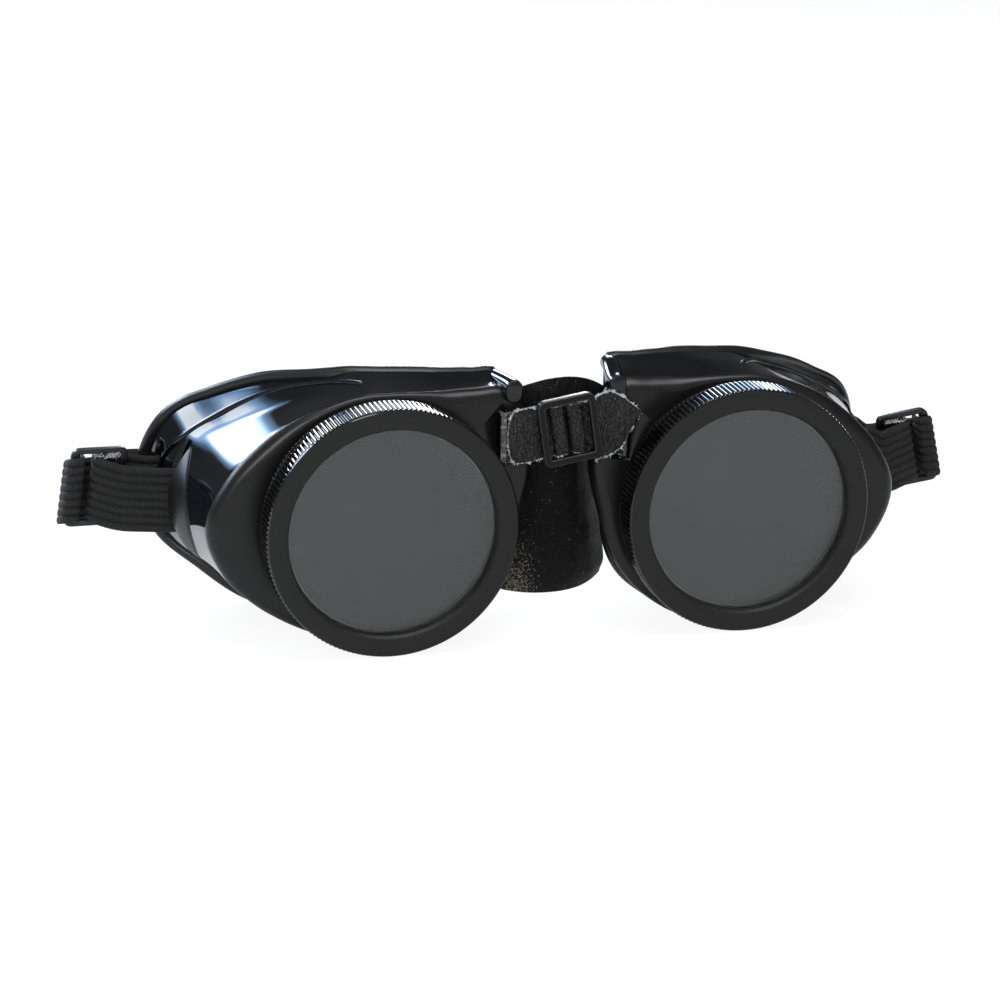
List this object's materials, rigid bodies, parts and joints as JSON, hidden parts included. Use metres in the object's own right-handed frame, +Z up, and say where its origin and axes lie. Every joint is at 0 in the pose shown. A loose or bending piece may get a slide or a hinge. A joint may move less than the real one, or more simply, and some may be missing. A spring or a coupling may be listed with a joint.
{
  "type": "screw-ring goggles",
  "caption": "Welding goggles with round screw-ring lenses in moulded side-shield cups, a buckled leather bridge with a nose pad, and an elastic headband with sliders.",
  "frame": {"origin": "on the surface that the goggles stand on, under the middle of their bounding box", "axes": "+X to the wearer's left along the headband, -Y ahead of the lenses, +Z up"},
  "size_m": [0.2156, 0.0662, 0.0599],
  "materials": {
    "cup": "black moulded plastic, polished, satin on the lens plate",
    "ring": "black moulded plastic, satin, with a straight knurl",
    "cover_lens": "clear polished glass",
    "filter_lens": "dark grey-green welding filter glass",
    "washer": "pressed fibre",
    "gasket": "soft black rubber",
    "slider": "black moulded plastic",
    "elastic": "black ribbed elastic webbing",
    "buckle": "black lacquered wire and plate",
    "strap": "black leather with raw cut edges",
    "pad": "black grained leather, padded"
  },
  "bodies": {
    "left_side": {"left_cup": "cup", "left_filter_lens": "filter_lens", "left_seat_gasket": "gasket", "left_strap_loop": "elastic", "headband": "elastic"},
    "bridge": {"bridge_buckle": "buckle", "nose_pad": "pad", "left_bridge_strap": "strap", "right_bridge_strap": "strap"},
    "right_side": {"right_cup": "cup", "right_filter_lens": "filter_lens", "right_seat_gasket": "gasket", "right_strap_loop": "elastic"},
    "left_lens_carrier": {"left_cover_lens": "cover_lens", "left_spacer_washer": "washer"},
    "right_lens_carrier": {"right_cover_lens": "cover_lens", "right_spacer_washer": "washer"},
    "left_ring": {"left_screw_ring": "ring"},
    "right_ring": {"right_screw_ring": "ring"},
    "left_band_slider": {"left_slider": "slider"},
    "right_band_slider": {"right_slider": "slider"}
  },
  "joints": [
    {"name": "bridge_fold", "type": "hinge", "parent": "left_side", "child": "bridge", "pos_m": [0, -0.02345, 0.0471], "axis": [0, 0, 1], "range_deg": [-10, 35], "deforming": ["headband", "nose_pad", "left_bridge_strap", "right_bridge_strap"]},
    {"name": "bridge_adjust", "type": "slide", "parent": "bridge", "child": "right_side", "axis": [1, 0, 0], "range_m": [-0.002, 0.008]},
    {"name": "left_ring_travel", "type": "slide", "parent": "left_side", "child": "left_lens_carrier", "axis": [0, -1, 0], "range_m": [0, 0.00675]},
    {"name": "left_ring_turn", "type": "hinge", "parent": "left_lens_carrier", "child": "left_ring", "pos_m": [-0.04115, -0.03315, 0.0285], "axis": [0, -1, 0], "range_deg": [0, 1620]},
    {"name": "right_ring_travel", "type": "slide", "parent": "right_side", "child": "right_lens_carrier", "axis": [0, -1, 0], "range_m": [0, 0.00675]},
    {"name": "right_ring_turn", "type": "hinge", "parent": "right_lens_carrier", "child": "right_ring", "pos_m": [0.04115, -0.03315, 0.0285], "axis": [0, -1, 0], "range_deg": [0, 1620]},
    {"name": "left_slider_travel", "type": "slide", "parent": "left_side", "child": "left_band_slider", "axis": [-1, 0, 0], "range_m": [0, 0.03], "deforming": ["left_strap_loop"]},
    {"name": "right_slider_travel", "type": "slide", "parent": "right_side", "child": "right_band_slider", "axis": [1, 0, 0], "range_m": [0, 0.03], "deforming": ["right_strap_loop"]}
  ],
  "couplings": [
    {"joint": "left_ring_travel", "follows": "left_ring_turn", "m_per_rad": 0.00023873},
    {"joint": "right_ring_travel", "follows": "right_ring_turn", "m_per_rad": 0.00023873}
  ]
}
